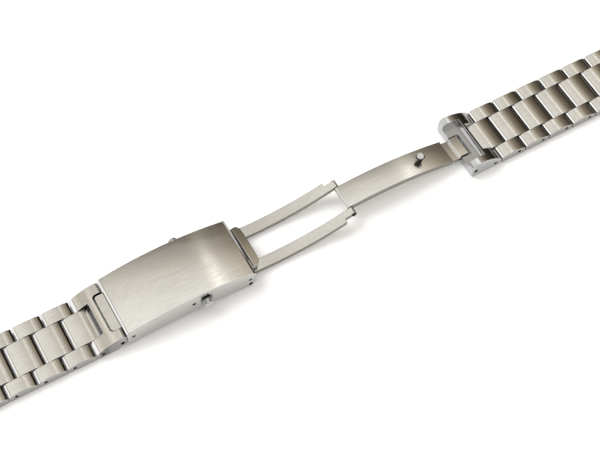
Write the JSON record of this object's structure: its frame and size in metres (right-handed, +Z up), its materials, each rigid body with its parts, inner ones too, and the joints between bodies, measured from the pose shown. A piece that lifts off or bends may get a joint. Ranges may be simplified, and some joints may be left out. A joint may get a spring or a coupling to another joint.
{
  "type": "watch bracelet",
  "caption": "Steel watch bracelet of hinged outer and centre links on both sides of a folding push-button clasp, which lies open.",
  "frame": {"origin": "bottom centre of the bracelet's bounding box, laid flat and open with the clasp's outer side up", "axes": "+X along the band from the fork end towards the connector end, +Y across the band, +Z up, away from the wrist"},
  "size_m": [0.2322, 0.0224, 0.0082],
  "materials": {
    "cover": "fine lengthwise brushing",
    "cover_inner": "satin",
    "pins": "turned",
    "catch": "plain pressed",
    "buttons": "polished",
    "springs": "drawn wire",
    "arms": "lengthwise brushing",
    "stud": "polished",
    "end_pieces": "brushed top, polished nose",
    "outer_links": "brushed top, polished ends",
    "centre_links": "brushed top, polished ends",
    "end_links": "brushed"
  },
  "bodies": {
    "clasp_cover": {"clasp_cover": "cover", "cover_tongue": "cover_inner", "end_bar": "cover_inner", "cover_pins": "pins", "catch_housing": "catch", "arm_pivot_pins": "pins", "spring_near": "springs", "spring_far": "springs"},
    "button_near": {"button_near": "buttons"},
    "button_far": {"button_far": "buttons"},
    "folding_arms": {"folding_arms": "arms", "mid_hinge_pin": "pins"},
    "blade": {"blade": "arms", "catch_stud": "stud"},
    "connector": {"connector": "end_pieces", "connector_pins": "pins"},
    "end_fork": {"end_fork": "end_pieces", "end_fork_pins": "pins"},
    "left_centre_0": {"left_centre_0": "centre_links"},
    "left_outer_1": {"left_outer_1": "outer_links", "left_pins_1": "pins"},
    "left_centre_1": {"left_centre_1": "centre_links"},
    "left_outer_2": {"left_outer_2": "outer_links", "left_pins_2": "pins"},
    "left_centre_2": {"left_centre_2": "centre_links"},
    "left_outer_3": {"left_outer_3": "outer_links", "left_pins_3": "pins"},
    "left_centre_3": {"left_centre_3": "centre_links"},
    "left_outer_4": {"left_outer_4": "outer_links", "left_pins_4": "pins"},
    "left_centre_4": {"left_centre_4": "centre_links"},
    "left_outer_5": {"left_outer_5": "outer_links", "left_pins_5": "pins"},
    "left_centre_5": {"left_centre_5": "centre_links"},
    "left_end_link": {"left_end_link": "end_links", "left_end_pin": "pins"},
    "right_centre_0": {"right_centre_0": "centre_links"},
    "right_outer_1": {"right_outer_1": "outer_links", "right_pins_1": "pins"},
    "right_centre_1": {"right_centre_1": "centre_links"},
    "right_outer_2": {"right_outer_2": "outer_links", "right_pins_2": "pins"},
    "right_centre_2": {"right_centre_2": "centre_links"},
    "right_outer_3": {"right_outer_3": "outer_links", "right_pins_3": "pins"},
    "right_centre_3": {"right_centre_3": "centre_links"},
    "right_outer_4": {"right_outer_4": "outer_links", "right_pins_4": "pins"},
    "right_centre_4": {"right_centre_4": "centre_links"},
    "right_outer_5": {"right_outer_5": "outer_links", "right_pins_5": "pins"},
    "right_centre_5": {"right_centre_5": "centre_links"},
    "right_outer_6": {"right_outer_6": "outer_links", "right_pins_6": "pins"},
    "right_centre_6": {"right_centre_6": "centre_links"},
    "right_end_link": {"right_end_link": "end_links", "right_end_pin": "pins"}
  },
  "joints": [
    {"name": "press_near", "type": "slide", "parent": "clasp_cover", "child": "button_near", "axis": [0, 1, 0], "range_m": [0, 0.0008], "stiffness_N_per_m": 900, "springref_m": -0.0012, "deforming": ["spring_near"]},
    {"name": "press_far", "type": "slide", "parent": "clasp_cover", "child": "button_far", "axis": [0, -1, 0], "range_m": [0, 0.0008], "stiffness_N_per_m": 900, "springref_m": -0.0012, "deforming": ["spring_far"]},
    {"name": "arm_fold", "type": "hinge", "parent": "folding_arms", "child": "clasp_cover", "pos_m": [-0.02193, 0, 0.0014], "axis": [0, -1, 0], "range_deg": [0, 185.46]},
    {"name": "blade_fold", "type": "hinge", "parent": "folding_arms", "child": "blade", "pos_m": [0.01208, 0, 0.0051], "axis": [0, 1, 0], "range_deg": [-191.11, 0]},
    {"name": "connector_hinge", "type": "hinge", "parent": "blade", "child": "connector", "pos_m": [0.05038, 0, 0.0023], "axis": [0, 1, 0], "range_deg": [-2, 25]},
    {"name": "end_fork_hinge", "type": "hinge", "parent": "clasp_cover", "child": "end_fork", "pos_m": [-0.05973, 0, 0.0023], "axis": [0, -1, 0], "range_deg": [-2, 25]},
    {"name": "left_hinge_1", "type": "hinge", "parent": "end_fork", "child": "left_centre_0", "pos_m": [-0.06532, 0, 0.00145], "axis": [0, -1, 0], "range_deg": [-4, 9]},
    {"name": "left_hinge_2", "type": "hinge", "parent": "left_centre_0", "child": "left_outer_1", "pos_m": [-0.06943, 0, 0.00145], "axis": [0, -1, 0], "range_deg": [-4, 9]},
    {"name": "left_hinge_3", "type": "hinge", "parent": "left_outer_1", "child": "left_centre_1", "pos_m": [-0.07352, 0, 0.00145], "axis": [0, -1, 0], "range_deg": [-4, 9]},
    {"name": "left_hinge_4", "type": "hinge", "parent": "left_centre_1", "child": "left_outer_2", "pos_m": [-0.07762, 0, 0.00145], "axis": [0, -1, 0], "range_deg": [-4, 9]},
    {"name": "left_hinge_5", "type": "hinge", "parent": "left_outer_2", "child": "left_centre_2", "pos_m": [-0.08173, 0, 0.00145], "axis": [0, -1, 0], "range_deg": [-4, 9]},
    {"name": "left_hinge_6", "type": "hinge", "parent": "left_centre_2", "child": "left_outer_3", "pos_m": [-0.08582, 0, 0.00145], "axis": [0, -1, 0], "range_deg": [-4, 9]},
    {"name": "left_hinge_7", "type": "hinge", "parent": "left_outer_3", "child": "left_centre_3", "pos_m": [-0.08993, 0, 0.00145], "axis": [0, -1, 0], "range_deg": [-4, 9]},
    {"name": "left_hinge_8", "type": "hinge", "parent": "left_centre_3", "child": "left_outer_4", "pos_m": [-0.09402, 0, 0.00145], "axis": [0, -1, 0], "range_deg": [-4, 9]},
    {"name": "left_hinge_9", "type": "hinge", "parent": "left_outer_4", "child": "left_centre_4", "pos_m": [-0.09813, 0, 0.00145], "axis": [0, -1, 0], "range_deg": [-4, 9]},
    {"name": "left_hinge_10", "type": "hinge", "parent": "left_centre_4", "child": "left_outer_5", "pos_m": [-0.10222, 0, 0.00145], "axis": [0, -1, 0], "range_deg": [-4, 9]},
    {"name": "left_hinge_11", "type": "hinge", "parent": "left_outer_5", "child": "left_centre_5", "pos_m": [-0.10633, 0, 0.00145], "axis": [0, -1, 0], "range_deg": [-4, 9]},
    {"name": "left_hinge_12", "type": "hinge", "parent": "left_centre_5", "child": "left_end_link", "pos_m": [-0.11042, 0, 0.00145], "axis": [0, -1, 0], "range_deg": [-4, 9]},
    {"name": "right_hinge_1", "type": "hinge", "parent": "connector", "child": "right_centre_0", "pos_m": [0.05713, 0, 0.00145], "axis": [0, 1, 0], "range_deg": [-4, 9]},
    {"name": "right_hinge_2", "type": "hinge", "parent": "right_centre_0", "child": "right_outer_1", "pos_m": [0.06123, 0, 0.00145], "axis": [0, 1, 0], "range_deg": [-4, 9]},
    {"name": "right_hinge_3", "type": "hinge", "parent": "right_outer_1", "child": "right_centre_1", "pos_m": [0.06532, 0, 0.00145], "axis": [0, 1, 0], "range_deg": [-4, 9]},
    {"name": "right_hinge_4", "type": "hinge", "parent": "right_centre_1", "child": "right_outer_2", "pos_m": [0.06943, 0, 0.00145], "axis": [0, 1, 0], "range_deg": [-4, 9]},
    {"name": "right_hinge_5", "type": "hinge", "parent": "right_outer_2", "child": "right_centre_2", "pos_m": [0.07352, 0, 0.00145], "axis": [0, 1, 0], "range_deg": [-4, 9]},
    {"name": "right_hinge_6", "type": "hinge", "parent": "right_centre_2", "child": "right_outer_3", "pos_m": [0.07762, 0, 0.00145], "axis": [0, 1, 0], "range_deg": [-4, 9]},
    {"name": "right_hinge_7", "type": "hinge", "parent": "right_outer_3", "child": "right_centre_3", "pos_m": [0.08173, 0, 0.00145], "axis": [0, 1, 0], "range_deg": [-4, 9]},
    {"name": "right_hinge_8", "type": "hinge", "parent": "right_centre_3", "child": "right_outer_4", "pos_m": [0.08582, 0, 0.00145], "axis": [0, 1, 0], "range_deg": [-4, 9]},
    {"name": "right_hinge_9", "type": "hinge", "parent": "right_outer_4", "child": "right_centre_4", "pos_m": [0.08993, 0, 0.00145], "axis": [0, 1, 0], "range_deg": [-4, 9]},
    {"name": "right_hinge_10", "type": "hinge", "parent": "right_centre_4", "child": "right_outer_5", "pos_m": [0.09402, 0, 0.00145], "axis": [0, 1, 0], "range_deg": [-4, 9]},
    {"name": "right_hinge_11", "type": "hinge", "parent": "right_outer_5", "child": "right_centre_5", "pos_m": [0.09813, 0, 0.00145], "axis": [0, 1, 0], "range_deg": [-4, 9]},
    {"name": "right_hinge_12", "type": "hinge", "parent": "right_centre_5", "child": "right_outer_6", "pos_m": [0.10222, 0, 0.00145], "axis": [0, 1, 0], "range_deg": [-4, 9]},
    {"name": "right_hinge_13", "type": "hinge", "parent": "right_outer_6", "child": "right_centre_6", "pos_m": [0.10633, 0, 0.00145], "axis": [0, 1, 0], "range_deg": [-4, 9]},
    {"name": "right_hinge_14", "type": "hinge", "parent": "right_centre_6", "child": "right_end_link", "pos_m": [0.11042, 0, 0.00145], "axis": [0, 1, 0], "range_deg": [-4, 9]}
  ],
  "couplings": [
    {"joint": "blade_fold", "follows": "arm_fold", "ratio": -1.0302}
  ]
}
